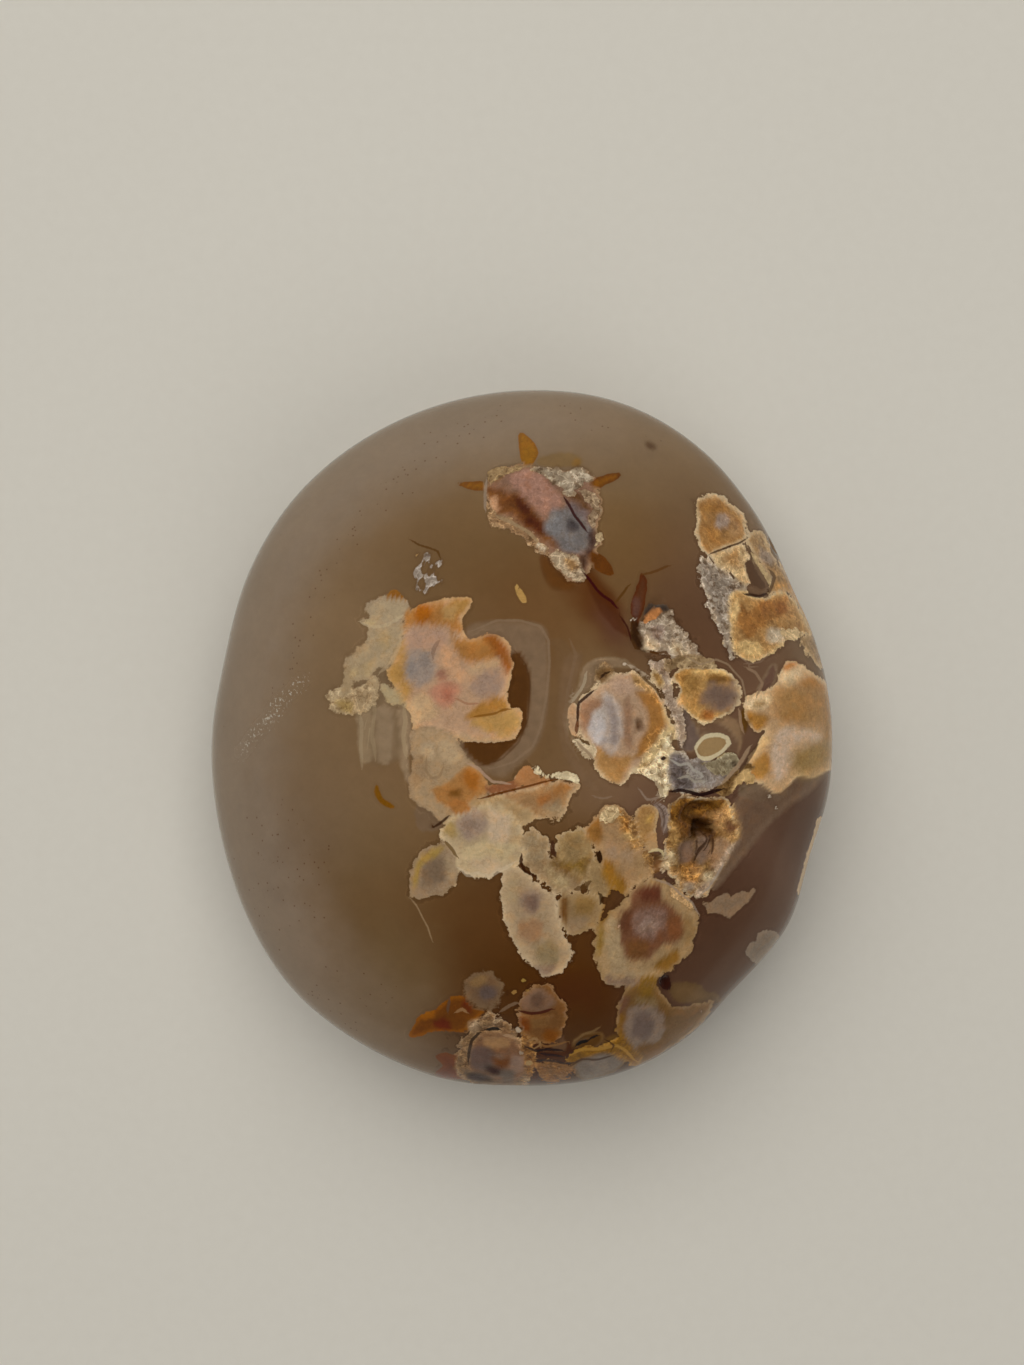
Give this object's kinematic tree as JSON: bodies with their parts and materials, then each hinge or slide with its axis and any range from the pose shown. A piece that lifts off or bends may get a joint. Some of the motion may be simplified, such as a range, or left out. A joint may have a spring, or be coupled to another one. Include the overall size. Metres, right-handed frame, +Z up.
{
  "type": "polished palm stone",
  "caption": "Polished freeform palm stone of flower agate: a soft oval pebble with a low crown, small open hollows and a flat spot to rest on.",
  "frame": {"origin": "middle of the flat spot that the stone rests on, under the middle of its outline", "axes": "+Z up from the resting flat through the crown, +Y along the stone's length to the end that is at the top of the picture, +X across its width to the picture's right"},
  "size_m": [0.054, 0.0604, 0.023],
  "materials": {
    "flower_agate": "polished"
  },
  "bodies": {
    "root": {"palm_stone": "flower_agate"}
  },
  "joints": []
}
